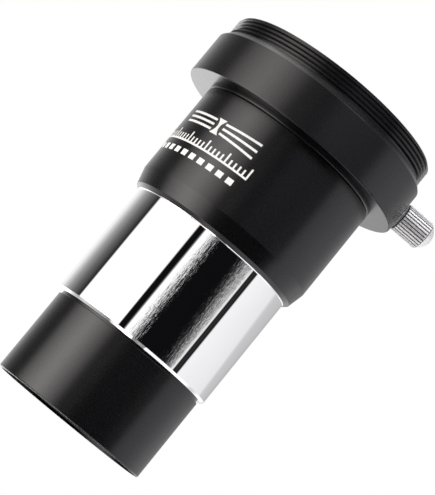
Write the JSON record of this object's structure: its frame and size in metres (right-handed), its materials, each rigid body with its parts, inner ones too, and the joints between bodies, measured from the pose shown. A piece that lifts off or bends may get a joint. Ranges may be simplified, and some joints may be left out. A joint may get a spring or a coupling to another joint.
{
  "type": "barlow lens",
  "caption": "Short barlow lens: chrome nosepiece, screw-off lens cell with cemented doublet, black body and a collar with thumbscrew and camera thread.",
  "frame": {"origin": "centre of the lens cell's lower rim, on the optical axis", "axes": "+Z along the optical axis from the lens cell to the eyepiece end; +X along the thumbscrew, outwards"},
  "size_m": [0.0514, 0.044, 0.0726],
  "materials": {
    "cell_black": "satin black anodised",
    "crown_glass": "polished, green antireflection coating",
    "flint_glass": "polished, antireflection coating",
    "spacer_black": "matt black",
    "ring_black": "matt black anodised",
    "barrel_chrome": "polished chrome",
    "stop_black": "matt black",
    "body_black": "satin black anodised",
    "collar_black": "satin black anodised",
    "ring_brass": "turned",
    "screw_nickel": "bright nickel plate, straight knurl",
    "pad_brass": "turned"
  },
  "bodies": {
    "tube": {"nosepiece_barrel": "barrel_chrome", "glare_stop": "stop_black", "body_tube": "body_black", "eyepiece_collar": "collar_black"},
    "clamp_ring": {"compression_ring": "ring_brass"},
    "screw_pad": {"pressure_pad": "pad_brass"},
    "screw": {"thumbscrew": "screw_nickel"},
    "doublet": {"crown_element": "crown_glass", "flint_element": "flint_glass"},
    "cell": {"lens_cell": "cell_black", "lens_spacer": "spacer_black", "retaining_ring": "ring_black"}
  },
  "joints": [
    {"name": "screw_travel", "type": "slide", "parent": "tube", "child": "screw_pad", "axis": [1, 0, 0], "range_m": [-0.00021, 0.00385]},
    {"name": "screw_turn", "type": "hinge", "parent": "screw_pad", "child": "screw", "pos_m": [0, 0, 0.0643], "axis": [1, 0, 0], "range_deg": [-108, 1980]},
    {"name": "ring_clamp", "type": "slide", "parent": "tube", "child": "clamp_ring", "axis": [-1, 0, 0], "range_m": [0, 0.0003]},
    {"name": "cell_travel", "type": "slide", "parent": "tube", "child": "doublet", "axis": [0, 0, -1], "range_m": [0, 0.0042]},
    {"name": "cell_turn", "type": "hinge", "parent": "doublet", "child": "cell", "pos_m": [0, 0, 0], "axis": [0, 0, -1], "range_deg": [0, 2520]}
  ],
  "couplings": [
    {"joint": "screw_turn", "follows": "screw_travel", "rad_per_m": 8976},
    {"joint": "cell_travel", "follows": "cell_turn", "m_per_rad": 0.000095493}
  ]
}
